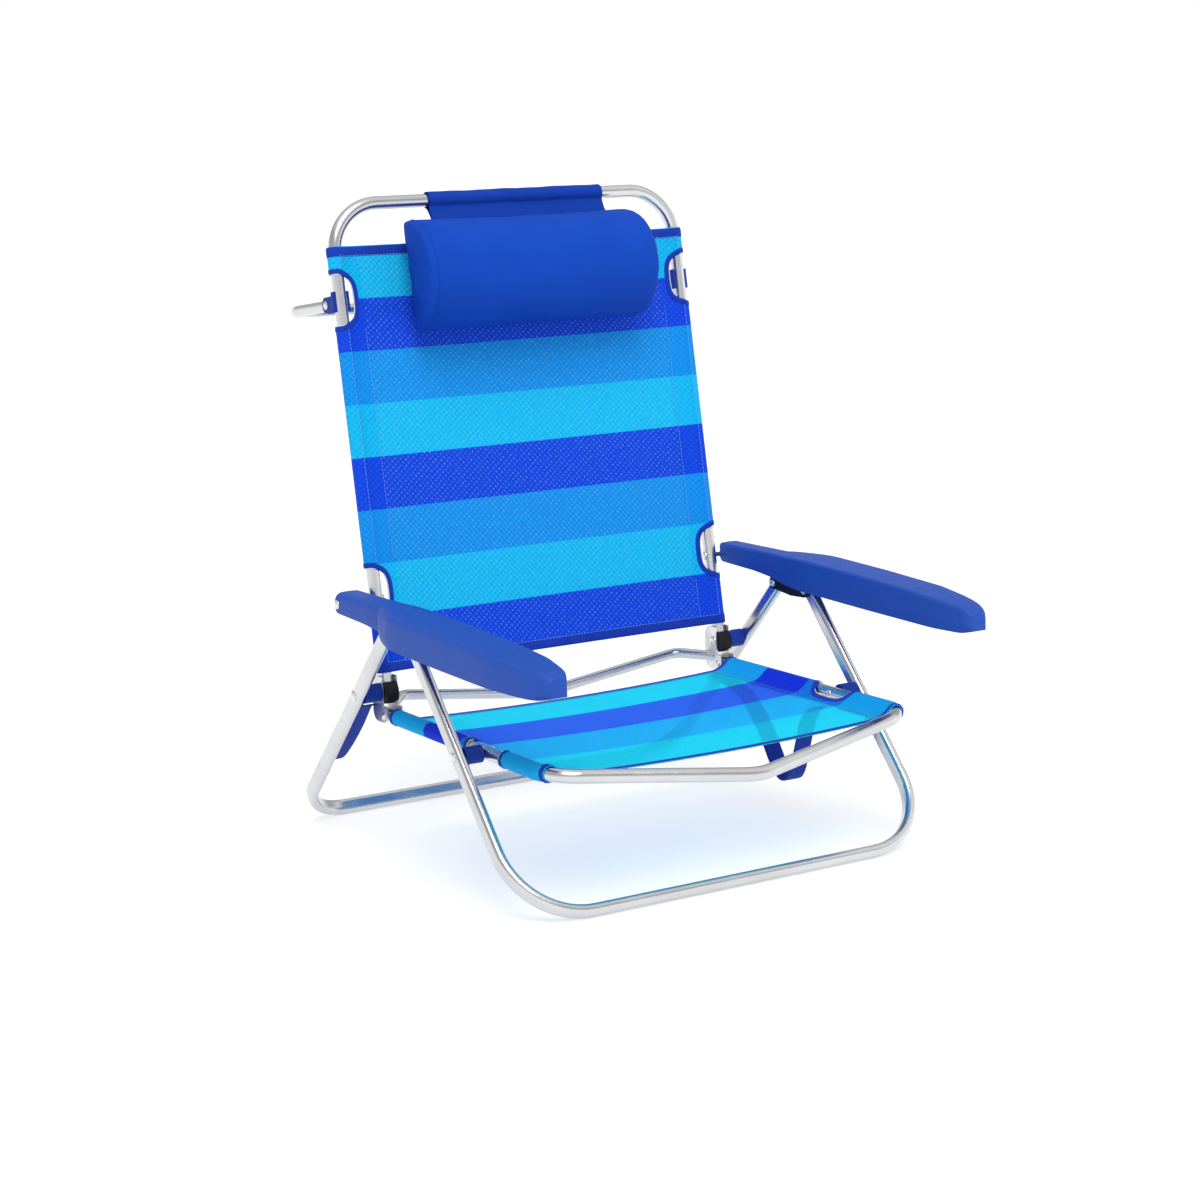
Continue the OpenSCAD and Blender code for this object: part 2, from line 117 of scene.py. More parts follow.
def studio_world():
    """A white room: bright at the horizon and overhead, with a greyer band between for the metal to reflect."""
    world = bpy.data.worlds.new("studio")
    bpy.context.scene.world = world
    world.use_nodes = True
    tree = world.node_tree
    place = tree.nodes.new("ShaderNodeTexCoord")
    split = tree.nodes.new("ShaderNodeSeparateXYZ")
    ramp = tree.nodes.new("ShaderNodeValToRGB")
    tree.links.new(place.outputs["Generated"], split.inputs["Vector"])
    tree.links.new(split.outputs["Z"], ramp.inputs["Fac"])
    stops = ramp.color_ramp.elements
    lowest, *between, highest = WORLD_STOPS
    for stop, (position, level) in ((stops[0], lowest), (stops[1], highest)):
        stop.position, stop.color = position, (level, level, level, 1)
    for position, level in between:
        stops.new(position).color = (level, level, level, 1)
    tree.links.new(ramp.outputs["Color"], tree.nodes["Background"].inputs["Color"])
    tree.nodes["Background"].inputs["Strength"].default_value = 1.0


make_camera()
sun("key", direction=(-0.3, -0.85, 1.25), strength=2.15, spread=36)
sun("side", direction=(0.95, -0.4, 0.5), strength=0.25, spread=50)
studio_world()
bpy.context.scene.view_settings.view_transform = "Standard"

# ---------- materials ----------


def linear(r, g, b):
    """A display colour from 0 to 255 as the linear colour a shader takes."""
    def one(c):
        c /= 255
        return c / 12.92 if c <= 0.04045 else ((c + 0.055) / 1.055) ** 2.4
    return (one(r), one(g), one(b), 1)


def scaled(colour, times, plus=0.0):
    """A colour with its three channels scaled and lifted, up to 1."""
    return tuple(min(1, c * times + plus) for c in colour[:3]) + (1,)


def deeper(colour):
    """The same cloth doubled over: a little darker and stronger in colour."""
    return (colour[0] * 0.5, colour[1] * 0.84, colour[2] * 0.93, 1)


NOISE_ROUGH = 0.55


class Build:
    """A small helper for writing a node material as lines of code."""

    def __init__(self, name, rough=0.5, metal=0.0):
        self.mat = bpy.data.materials.new(name)
        self.mat.use_nodes = True
        self.tree = self.mat.node_tree
        self.shader = self.tree.nodes["Principled BSDF"]
        self.shader.inputs["Roughness"].default_value = rough
        self.shader.inputs["Metallic"].default_value = metal
        self.place = self.node("ShaderNodeTexCoord").outputs["Object"]

    def node(self, kind, **values):
        n = self.tree.nodes.new(kind)
        for key, value in values.items():
            setattr(n, key, value)
        return n

    def join(self, a, b):
        self.tree.links.new(a, b)

    def feed(self, socket, value):
        if isinstance(value, bpy.types.NodeSocket):
            self.join(value, socket)
        else:
            socket.default_value = value

    def math(self, op, a, b=0.0):
        n = self.node("ShaderNodeMath", operation=op)
        for socket, value in zip(n.inputs, (a, b)):
            self.feed(socket, value)
        return n.outputs[0]

    def mix(self, fac, a, b):
        n = self.node("ShaderNodeMix", data_type="RGBA")
        self.feed(n.inputs["Factor"], fac)
        self.feed(n.inputs["A"], a)
        self.feed(n.inputs["B"], b)
        return n.outputs["Result"]

    def times(self, a, b):
        return self.math("MULTIPLY", a, b)

    def add(self, a, b):
        return self.math("ADD", a, b)

    def wave(self, distance, turn):
        """Sine of a distance, with turn in radians per metre."""
        return self.math("SINE", self.times(distance, turn))

    def noise(self, scale, detail=3.0, stretch=(1, 1, 1)):
        mapping = self.node("ShaderNodeMapping")
        mapping.inputs["Scale"].default_value = stretch
        self.join(self.place, mapping.inputs["Vector"])
        n = self.node("ShaderNodeTexNoise")
        n.inputs["Scale"].default_value = scale
        n.inputs["Detail"].default_value = detail
        n.inputs["Roughness"].default_value = NOISE_ROUGH
        self.join(mapping.outputs["Vector"], n.inputs["Vector"])
        return n.outputs["Fac"]

    def range(self, value, lo, hi, out_lo, out_hi):
        n = self.node("ShaderNodeMapRange")
        for socket, v in zip(n.inputs, (value, lo, hi, out_lo, out_hi)):
            self.feed(socket, v)
        return n.outputs["Result"]

    def along(self, direction, origin=(0, 0, 0)):
        """Distance from origin along a direction, in metres."""
        n = self.node("ShaderNodeVectorMath", operation="DOT_PRODUCT")
        self.join(self.place, n.inputs[0])
        n.inputs[1].default_value = direction
        return self.math("SUBTRACT", n.outputs["Value"], Vector(direction).dot(Vector(origin)))

    def bump(self, height, strength, distance):
        n = self.node("ShaderNodeBump")
        n.inputs["Strength"].default_value = strength
        n.inputs["Distance"].default_value = distance
        self.join(height, n.inputs["Height"])
        self.join(n.outputs["Normal"], self.shader.inputs["Normal"])

    def colour(self, value):
        self.feed(self.shader.inputs["Base Color"], value)

    def rough(self, value):
        self.feed(self.shader.inputs["Roughness"], value)

    def set(self, name, value):
        self.shader.inputs[name].default_value = value


def tube_metal(name):
    """Satin anodised aluminium: fine drawing marks, faint smudges and a few light rubs."""
    b = Build(name, 0.26, 1.0)
    smudge = b.noise(9, 3)
    grain = b.noise(1100, 2)
    rub = b.noise(48, 4)
    dull, bright, rubbed = (0.6, 0.605, 0.62, 1), (0.68, 0.685, 0.695, 1), (0.5, 0.51, 0.53, 1)
    tone = b.mix(b.range(smudge, 0.35, 0.7, 0, 1), dull, bright)
    b.colour(b.mix(b.range(rub, 0.62, 0.75, 0, 0.12), tone, rubbed))
    b.rough(b.add(b.range(rub, 0.45, 0.75, 0.2, 0.28), b.times(grain, 0.05)))
    b.bump(grain, 0.06, 0.00005)
    return b.mat


def plate_metal(name, base, rough):
    """Pressed plate and rivet metal: brushed, a little duller at random."""
    b = Build(name, rough, 1.0)
    brushed = b.noise(700, 2, (1, 0.08, 1))
    patch = b.noise(60, 3)
    b.colour(b.mix(b.range(patch, 0.35, 0.75, 0, 1), base, scaled(base, 0.8)))
    b.rough(b.add(b.times(brushed, 0.14), b.range(patch, 0.3, 0.8, rough - 0.08, rough)))
    b.bump(brushed, 0.15, 0.0001)
    return b.mat


def plastic(name, colour, rough, grain=1400, strength=0.16, shade=0.86):
    """Moulded plastic: fine spark-eroded grain, slight tone drift, and dull handling marks."""
    b = Build(name, rough)
    spark = b.noise(grain, 2)
    drift = b.noise(9, 3)
    wear = b.noise(75, 5)
    tone = b.mix(b.range(drift, 0.3, 0.7, 0, 1), colour, scaled(colour, shade))
    b.colour(b.mix(b.range(wear, 0.62, 0.78, 0, 0.5), tone, scaled(colour, 1.18, 0.01)))
    b.rough(b.add(b.range(wear, 0.35, 0.8, rough, rough + 0.12), b.times(spark, 0.06)))
    b.bump(spark, strength, 0.0002)
    b.set("Specular IOR Level", 0.16)
    return b.mat


# The glint colour below is a painted highlight on the mesh cloth's cells, and the gap colour is painted shade
# between them
PAINTED_GLINT = (0.42, 0.74, 1, 1)
GAP_SHADE = (0.0, 0.04, 0.5, 1)
CLEAR_TINT = (0.7, 0.95, 1, 1)
HAIR = 0.0003


def striped(b, line, bounds, tones):
    """Tones that change, within the width of a thread, where line passes each of the bounds."""
    shade = tones[0]
    for edge, tone in zip(bounds, tones[1:]):
        shade = b.mix(b.range(line, edge - 0.0004, edge + 0.0004, 0, 1), shade, tone)
    return shade


def mesh_cloth(name, direction, origin, bounds, tones, hem_tones, cell, holes, hem_x):
    """Open woven mesh in broad stripes that lie across direction. The weave is a staggered net of cells, with a
    painted highlight in their middles and painted shade between them, and the cells let light through, by about
    the share in holes. Beyond hem_x from the middle the cloth is double, so it is closer and has the hem's tones."""
    b = Build(name, 0.62)
    s = b.along(direction, origin)
    x = b.along(X_AXIS)
    line = b.add(s, b.times(b.math("SUBTRACT", b.noise(500, 1), 0.5), 0.0012))
    hem = b.range(b.math("ABSOLUTE", x), hem_x - HAIR, hem_x + HAIR, 0, 1)
    shade = b.mix(hem, striped(b, line, bounds, tones), striped(b, line, bounds, hem_tones))
    turn = 2 * math.pi / cell
    drift = b.times(b.math("SUBTRACT", b.noise(60, 1), 0.5), 0.0018)
    across = b.wave(b.add(x, drift), turn)
    along = b.wave(b.add(s, b.times(x, 0.18)), turn)
    net = b.times(across, along)
    threads = b.times(b.wave(x, turn * 6), b.wave(s, turn * 6))
    single = b.math("SUBTRACT", 1.0, b.times(hem, 0.8))
    # Painted highlight: the middles of the net's cells are lifted towards the glint colour, in random patches;
    # painted shade: the net between them is darkened towards the gap colour
    glint_patches = b.range(b.noise(280, 2), 0.36, 0.66, 0.25, 1)
    light = b.times(b.times(b.range(net, 0.0, 0.85, 0, 1), glint_patches), single)
    with_painted_glint = b.mix(b.times(light, 0.26), shade, PAINTED_GLINT)
    b.colour(b.mix(b.range(net, -0.9, -0.2, 0.22, 0.0), with_painted_glint, GAP_SHADE))
    b.rough(b.range(net, -1, 1, 0.56, 0.7))
    b.bump(b.add(b.times(threads, 0.45), net), 0.6, 0.0007)
    b.set("Specular IOR Level", 0.12)
    gap = b.times(single, b.range(net, -0.6, 0.9, holes * 0.7, holes * 1.3))
    clear = b.node("ShaderNodeBsdfTransparent")
    b.join(b.mix(0.82, CLEAR_TINT, shade), clear.inputs["Color"])
    blend = b.node("ShaderNodeMixShader")
    b.join(gap, blend.inputs["Fac"])
    b.join(b.shader.outputs[0], blend.inputs[1])
    b.join(clear.outputs[0], blend.inputs[2])
    b.join(blend.outputs[0], b.tree.nodes["Material Output"].inputs["Surface"])
    return b.mat


def plain_weave(name, colour, pitch, strength, rough, sheen, faded=0.5):
    """Close plain weave, as in tape, webbing and covers: fine over-and-under threads and soft fading."""
    b = Build(name, rough)
    x, y, z = (b.wave(b.along(axis), 2 * math.pi / pitch) for axis in ((1, 0, 0), (0, 1, 0), (0, 0, 1)))
    weave = b.add(b.times(x, y), b.times(x, z))
    fade = b.noise(14, 4)
    fuzz = b.noise(650, 3)
    tone = b.mix(b.range(weave, -1.4, 0.6, 0, 1), scaled(colour, 0.62), colour)
    patches = b.range(b.add(fade, b.times(fuzz, 0.2)), 0.5, 0.85, 0, faded)
    b.colour(b.mix(patches, tone, scaled(colour, 1.3, 0.004)))
    b.rough(b.range(fuzz, 0.3, 0.7, rough - 0.06, rough + 0.08))
    b.bump(b.add(weave, b.times(fuzz, 0.8)), strength, 0.00025)
    b.set("Sheen Weight", sheen)
    b.set("Sheen Roughness", 0.5)
    b.set("Specular IOR Level", 0.16)
    return b.mat


def floor_paint():
    """Matt pale paint that glows a little, so that the floor runs into the white room without an edge."""
    b = Build("floor_paint", 0.6)
    b.colour(b.mix(b.noise(3, 2), (0.44, 0.441, 0.443, 1), (0.46, 0.46, 0.461, 1)))
    b.set("Emission Color", (1, 1, 1, 1))
    b.set("Emission Strength", FLOOR_GLOW)
    return b.mat


CYAN = linear(0, 196, 242)
MID = linear(0, 154, 236)
DARK = linear(0, 72, 224)
SEAT_CYAN = linear(6, 236, 255)
SEAT_MID = linear(14, 206, 255)
SEAT_DARK = linear(50, 124, 250)
SLEEVE_CYAN = linear(0, 178, 250)
SLEEVE_MID = linear(0, 128, 236)
SLEEVE_DARK = linear(0, 48, 232)
# From the low end of the back up, and from the front of the seat to its rear
BACK_TONES = [DARK, CYAN, MID, DARK, CYAN, MID, DARK, CYAN]
SEAT_TONES = [SEAT_CYAN, SEAT_MID, SEAT_DARK, SEAT_CYAN]
SLEEVE_TONES = [SLEEVE_CYAN, SLEEVE_MID, SLEEVE_DARK, SLEEVE_CYAN]

METAL = tube_metal("tube_aluminium")
PLATE = plate_metal("plate_aluminium", (0.74, 0.75, 0.77, 1), 0.34)
FASTENER = plate_metal("rivet_steel", (0.78, 0.79, 0.81, 1), 0.26)
BLACK = plastic("black_plastic", linear(24, 25, 28), 0.42)
BLUE_PLASTIC = plastic("blue_plastic", linear(12, 50, 146), 0.45)
ARM_PLASTIC = plastic("armrest_plastic", linear(34, 76, 168), 0.45, 1100, 0.2, 0.93)
TAPE = plain_weave("binding_tape", linear(8, 52, 165), 0.0012, 0.5, 0.7, 0.05)
PILLOW_CLOTH = plain_weave("pillow_cloth", linear(0, 66, 178), 0.0011, 0.3, 0.75, 0.0, 0.15)
# The loop is made of the pillow's cloth; its darker colour here is painted shade
PILLOW_CLOTH_SHADED = plain_weave("pillow_cloth_painted_shade", linear(0, 56, 160), 0.0011, 0.3, 0.75, 0.0, 0.15)
STRAP_CLOTH = plain_weave("strap_webbing", linear(16, 50, 150), 0.0022, 0.7, 0.7, 0.05)
THREAD = plain_weave("stitch_thread", linear(120, 165, 235), 0.0006, 0.3, 0.7, 0.0)
# A pale strip beside the notch tape's inner edge, standing for that edge's highlight: painted highlight
PAINTED_HIGHLIGHT_TAPE = plain_weave("painted_highlight_piping", linear(205, 214, 232), 0.0006, 0.3, 0.7, 0.0)

# ---------- mesh helpers ----------


def new_object(name, verts, faces, material):
    mesh = bpy.data.meshes.new(name)
    mesh.from_pydata([tuple(v) for v in verts], [], faces)
    mesh.materials.append(material)
    mesh.validate()
    for p in mesh.polygons:
        p.use_smooth = True
    o = bpy.data.objects.new(name, mesh)
    bpy.context.collection.objects.link(o)
    return o


def outward(o):
    """Turns every face outwards."""
    bm = bmesh.new()
    bm.from_mesh(o.data)
    bmesh.ops.recalc_face_normals(bm, faces=bm.faces)
    bm.to_mesh(o.data)
    bm.free()
    return o


def finished(o, body, slot, *nodes):
    """Puts a piece on its body, in the place of the CAD nodes that it stands for, which it hides. The slot is not
    used.
    """
    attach(o, body)
    if nodes:
        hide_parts(*nodes)
    return o


def loft(name, rings, material, closed=True, caps=True):
    """A skin through rings of points, all with the same count."""
    n = len(rings[0])
    verts = [v for ring in rings for v in ring]
    faces = []
    for i in range(len(rings) - 1):
        for j in range(n if closed else n - 1):
            k = (j + 1) % n
            faces.append((i * n + j, i * n + k, (i + 1) * n + k, (i + 1) * n + j))
    if caps:
        faces.append(tuple(range(n)))
        faces.append(tuple((len(rings) - 1) * n + j for j in range(n)))
    return outward(new_object(name, verts, faces, material))


def join(name, parts):
    """One object made of several, with their materials kept."""
    bpy.ops.object.select_all(action="DESELECT")
    for p in parts:
        p.select_set(True)
    bpy.context.view_layer.objects.active = parts[0]
    bpy.ops.object.join()
    parts[0].name = name
    parts[0].data.name = name
    return parts[0]


def modifier(o, kind, **values):
    m = o.modifiers.new(kind.lower(), kind)
    for key, value in values.items():
        setattr(m, key, value)
    return m


def lathe(name, axis_start, profile, material, direction, sides=28):
    """Turns a profile of (distance along, radius) about a line in a unit direction."""
    a = direction.orthogonal().normalized()
    b = direction.cross(a)
    rings = []
    for along, radius in profile:
        centre = axis_start + direction * along
        rings.append([centre + (a * math.cos(2 * math.pi * k / sides) + b * math.sin(2 * math.pi * k / sides))
                      * radius for k in range(sides)])
    return loft(name, rings, material)


def rivet_profile(length, shank, head, height, domed):
    """A rivet from end to end, with a dome or a plain end at each. Its length is between the heads' flats."""
    dome = [(height * (1 - math.cos(a)), head * math.sin(a)) for a in
            (math.radians(d) for d in (6, 20, 36, 52, 68, 82, 90))]
    start = [(d - height, r) for d, r in dome]
    start += [(-0.0003, head), (0.0, head * 0.97), (0.0, shank)]
    plain = [(0.0, shank * 0.9), (0.0002, shank)]
    near, far = (start if end else plain for end in domed)
    return near + [(length - d, r) for d, r in reversed(far)]


def rivets(name, body, spans, shank, head, height, *nodes):
    """Rivets along x, mirrored to both sides. A span is (from x, to x, place, which ends are domed)."""
    made = []
    for x0, x1, place, domed in spans:
        for side in (1, -1):
            begin = Vector((side * x0, place.y, place.z))
            profile = rivet_profile(x1 - x0, shank, head, height, domed)
            made.append(lathe(name, begin, profile, FASTENER, X_AXIS * side))
    return finished(join(name, made), body, "fastener_metal", *nodes)


# ---------- rivets and bolts ----------

HEAD = 0.0025
BOTH = (True, True)
PLATE_T = 0.002
PLATE_GAP = 0.0004
LEG_W = 0.012
RAIL_D = 0.014
BRACKET_GAP = 0.0001
RAIL_GAP = 0.0002
STUD_GAP = 0.0004
LEG_RIVET_GAP = 0.0002


def middle(node):
    low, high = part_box(node)
    return (low + high) / 2


def heads_at(node):
    """How far out the flats of a mirrored pair's outer heads lie, from the CAD box."""
    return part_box(node)[1].x - HEAD


PLATE_IN = TUBE_X - TUBE_R - PLATE_GAP - PLATE_T
TUBE_IN = TUBE_X - TUBE_R
BRACKET_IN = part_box("leg_bracket_left")[0].x - BRACKET_GAP
LEG_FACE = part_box("rear_leg_tube")[1].x
LEG_IN = LEG_FACE - LEG_W
RAIL_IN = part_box("towel_rail_tube")[1].x - RAIL_D - RAIL_GAP
REAR_TOP = middle("rear_leg_rivets")

rivets("rear_bolts", "pivot_bolts", [(PLATE_IN, heads_at("rear_pivot_bolts"), REAR, BOTH)],
       0.003, 0.0065, HEAD, "rear_pivot_bolts")
rivets("front_bolts", "seat_frame", [(TUBE_IN, heads_at("front_pivot_bolts"), FRONT, BOTH)],
       0.003, 0.006, HEAD, "front_pivot_bolts")
rivets("arm_bolts", "arm_bolts", [(TUBE_IN, heads_at("arm_pivot_bolts"), ARM, BOTH)],
       0.003, 0.0055, HEAD, "arm_pivot_bolts")
rivets("hinge_plate_rivets", "seat_frame", [(PLATE_IN, heads_at("plate_rivets"), middle("plate_rivets"), BOTH)],
       0.0025, 0.0045, HEAD, "plate_rivets")
rivets("rail_rivets", "towel_rail", [(RAIL_IN, heads_at("towel_rail_rivets"), RAIL, BOTH)],
       0.0029, 0.0052, 0.0022, "towel_rail_rivets")
# The opened pivot: the bracket's stud ends just short of the leg, and the leg's own rivet goes on from there
rivets("bracket_studs", "leg_brackets",
       [(BRACKET_IN, heads_at("bracket_rivets"), JOINT["bracket_fold"], BOTH),
        (BRACKET_IN, LEG_IN - STUD_GAP, REAR_TOP, (True, False))],
       0.0029, 0.0048, HEAD, "bracket_rivets")
rivets("rear_leg_top_rivets", "rear_leg",
       [(LEG_IN + LEG_RIVET_GAP, heads_at("rear_leg_rivets"), REAR_TOP, (False, True))],
       0.0029, 0.0048, HEAD, "rear_leg_rivets")

# Places down the leg from the rear pivot and off its middle line, and the dome's (height, radius)
STUD_PLACES = ((0.036, 0.003), (0.05, 0.002), (0.157, -0.003), (0.178, -0.0025))
STUD_DOME = [(0.0, 0.0016), (0.0006, 0.0015), (0.001, 0.0009), (0.0011, 0.0003)]


def leg_studs():
    """Small blind rivets on the outer faces of the rear legs."""
    made = []
    down = (REAR - REAR_TOP).normalized()
    across = Vector((0, down.z, -down.y))
    for along, off in STUD_PLACES:
        place = REAR + down * along + across * off
        for side in (1, -1):
            begin = Vector((side * (LEG_FACE - 0.0004), place.y, place.z))
            made.append(lathe("leg_studs", begin, STUD_DOME, FASTENER, X_AXIS * side, 14))
    finished(join("leg_studs", made), "rear_leg", "fastener_metal")


leg_studs()

# ---------- slung fabric ----------


class Slung:
    """A fabric panel slung between two tubes. u runs across it along the cloth from the middle, s along it."""

    R = 0.0091  # of the cloth's middle surface round a tube
    PINCH = 0.0165  # from the tube's middle to where the panel turns up into its sleeve
    HEM = 0.029  # from the tube's middle to the end of the hem turned under
    STEPS = 36
    LEAN = 132  # degrees round the tube at which the panel meets it
    WRAP = 300  # degrees of tube that the sleeve covers
    RIPPLE = 0.00035
    THICK = 0.0009
    EDGE = 0.0005  # short of the tube's middle, where the panel ends and the sleeve begins

    def __init__(self, origin, along, out, span, notches, depth, pinch_h, sag, tape, bend_from, bend_r):
        self.origin, self.along, self.out = origin, along, out
        self.span, self.notches, self.depth = span, notches, depth
        self.tape = tape
        self.bend_from, self.bend_r = bend_from, bend_r
        # Half of the cloth's section: the slung part, the sleeve round the tube, and the hem turned under
        pinch_x = TUBE_X - self.PINCH
        self.points = [(pinch_x * k / self.STEPS, pinch_h - sag * (1 - (k / self.STEPS) ** 2))
                       for k in range(self.STEPS - 1)]
        lean = math.radians(self.LEAN)
        touch = (TUBE_X + self.R * math.cos(lean), self.R * math.sin(lean))
        knee = (pinch_x, pinch_h)
        start = self.points[-1]
        for f in (k / 6 for k in range(7)):
            self.points.append(tuple((1 - f) ** 2 * a + 2 * f * (1 - f) * b + f * f * c
                                     for a, b, c in zip(start, knee, touch)))
        for k in range(1, 25):
            a = lean - math.radians(self.WRAP * k / 24)
            r = self.R + self.RIPPLE * math.sin(a * 8)
            self.points.append((TUBE_X + r * math.cos(a), r * math.sin(a)))
        hem_x = TUBE_X - self.HEM
        end = (hem_x, pinch_h - sag * (1 - (hem_x / pinch_x) ** 2) - 0.0017)
        fold = (pinch_x + 0.003, pinch_h - 0.0024)
        last = self.points[-1]
        for p, q in ((last, fold), (fold, end)):
            for k in range(1, 4):
                self.points.append(tuple(a + (b - a) * k / 3 for a, b in zip(p, q)))
        self.length = [0.0]
        for p, q in zip(self.points, self.points[1:]):
            self.length.append(self.length[-1] + math.dist(p, q))

    def profile(self, u):
        """(x, height) on the cloth's middle surface at distance |u| along it, and the way out of it."""
        side = -1 if u < 0 else 1
        u = min(abs(u), self.length[-1] - 1e-6)
        i = max(k for k in range(len(self.length) - 1) if self.length[k] <= u)
        f = (u - self.length[i]) / (self.length[i + 1] - self.length[i])
        p, q = self.points[i], self.points[i + 1]
        dx, dh = q[0] - p[0], q[1] - p[1]
        n = math.hypot(dx, dh)
        return side * (p[0] + f * dx), p[1] + f * dh, (side * -dh / n, dx / n)

    def drawn_in(self, x, s):
        """How far the cloth moves inwards with its tube, where the tube has begun to bend."""
        past = abs(s - self.bend_from) if (s - self.bend_from) * self.bend_from > 0 else 0.0
        past = min(past, 0.98 * self.bend_r)
        share = min(max((abs(x) - 0.13) / 0.08, 0.0), 1.0)
        return (self.bend_r - math.sqrt(self.bend_r ** 2 - past ** 2)) * share * share * (3 - 2 * share)

    def point(self, u, s, lift=0.0):
        x, h, normal = self.profile(u)
        x -= math.copysign(self.drawn_in(x, s), x)
        return (self.origin + self.along * s + X_AXIS * (x + normal[0] * lift)
                + self.out * (h + normal[1] * lift))

    def u_at(self, x):
        """Distance along the cloth at which the panel is x from the middle."""
        for i, p in enumerate(self.points):
            if p[0] >= x:
                q = self.points[i - 1]
                return self.length[i - 1] + (x - q[0]) / (p[0] - q[0]) * (self.length[i] - self.length[i - 1])

    def notch_edge(self, s):
        """How far out the panel reaches at s: the inner edge of a notch, or None where there is none."""
        for lo, hi in self.notches:
            if lo < s < hi:
                f = (2 * s - lo - hi) / (hi - lo)
                return TUBE_X + self.R - self.depth * (1 - abs(f) ** 3.2) ** (1 / 2.2)
        return None

    def mesh(self, name, material, step=0.0045):
        count = round((self.span[1] - self.span[0]) / step)
        rows = {self.span[0] + (self.span[1] - self.span[0]) * k / count for k in range(count + 1)}
        for lo, hi in self.notches:
            rows |= {lo - 1e-5, hi + 1e-5, lo + 0.0012, hi - 0.0012}
        rows = sorted(rows)
        wrap_u = self.u_at(TUBE_X - self.EDGE)
        # Columns crowd towards the tubes, where the cloth turns up into its sleeves
        sparse, crowd = 0.93, 0.07
        spread = ([-1 + crowd * k / 12 for k in range(12)] + [sparse * k / 40 for k in range(-40, 41)]
                  + [sparse + crowd * k / 12 for k in range(1, 13)])
        parts = []
        # The panel: every row spans to the tube, or to the notch's edge
        verts, faces = [], []
        columns = len(spread) - 1
        for s in rows:
            edge = self.notch_edge(s)
            reach = wrap_u if edge is None else self.u_at(min(edge, TUBE_X - self.EDGE))
            for j in range(columns + 1):
                verts.append(self.point(reach * spread[j], s))
        width = columns + 1
        for i in range(len(rows) - 1):
            for j in range(columns):
                faces.append((i * width + j, i * width + j + 1, (i + 1) * width + j + 1, (i + 1) * width + j))
        parts.append(new_object(name, verts, faces, material))
        # The sleeves: only where there is no notch
        around = 34
        for side in (1, -1):
            verts, faces = [], []
            previous = None
            for s in rows:
                if self.notch_edge(s) is not None:
                    previous = None
                    continue
                first = len(verts)
                for j in range(around + 1):
                    verts.append(self.point(side * (wrap_u + (self.length[-1] - wrap_u) * j / around), s))
                if previous is not None:
                    for j in range(around):
                        faces.append((previous + j, first + j, first + j + 1, previous + j + 1))
                previous = first
            parts.append(new_object(name, verts, faces, material))
        cloth = join(name, parts)
        bm = bmesh.new()
        bm.from_mesh(cloth.data)
        bmesh.ops.remove_doubles(bm, verts=bm.verts, dist=0.00004)
        bmesh.ops.recalc_face_normals(bm, faces=bm.faces)
        bm.to_mesh(cloth.data)
        bm.free()
        self.area = sum(p.area for p in cloth.data.polygons)
        modifier(cloth, "SOLIDIFY", thickness=self.THICK, offset=0)
        return cloth

    def band(self, name, line, half, thick, material):
        """Tape folded over an edge: a flat oval swept along a list of (u, s) places on the cloth."""
        rings = []
        places = [self.point(u, s) for u, s in line]
        for i, (u, s) in enumerate(line):
            ahead = (places[min(i + 1, len(line) - 1)] - places[max(i - 1, 0)]).normalized()
            out = (self.point(u, s, 0.001) - places[i]).normalized()
            across = ahead.cross(out).normalized()
            ring = []
            for k in range(12):
                a = 2 * math.pi * k / 12
                bulge = 1 if abs(math.sin(a)) > 0.3 else 0.9
                ring.append(places[i] + across * half * math.cos(a)
                            + out * thick * bulge * math.copysign(abs(math.sin(a)) ** 0.5, math.sin(a)))
            rings.append(ring)
        return loft(name, rings, material)

    def stitches(self, name, lines):
        """Short raised stitches along lines of (u, s) places."""
        pitch, lift, radius = 0.0044, 0.0009, 0.00033
        verts, faces = [], []
        for line in lines:
            places = [(self.point(u, s, lift), self.point(u, s, lift + 0.001)) for u, s in line]
            travelled, due = 0.0, pitch / 2
            for (a, above), (b, _) in zip(places, places[1:]):
                run = (b - a).length
                if run < 1e-6:
                    continue
                d = (b - a) / run
                n = (above - a).normalized()
                w = d.cross(n)
                while due < travelled + run:
                    c = a + d * (due - travelled)
                    base = len(verts)
                    for along, size in ((-1, 0.3), (-0.75, 1), (0.75, 1), (1, 0.3)):
                        centre = c + d * along * pitch * 0.36
                        for t in (math.pi * k / 3 for k in range(6)):
                            verts.append(centre + (w * math.cos(t) + n * math.sin(t)) * radius * size)
                    for r in range(3):
                        for k in range(6):
                            q = (k + 1) % 6
                            faces.append((base + r * 6 + k, base + r * 6 + q,
                                          base + r * 6 + 6 + q, base + r * 6 + 6 + k))
                    faces += [tuple(base + k for k in range(6)), tuple(base + 18 + k for k in range(6))]
                    due += pitch
                travelled += run
        return outward(new_object(name, verts, faces, THREAD))

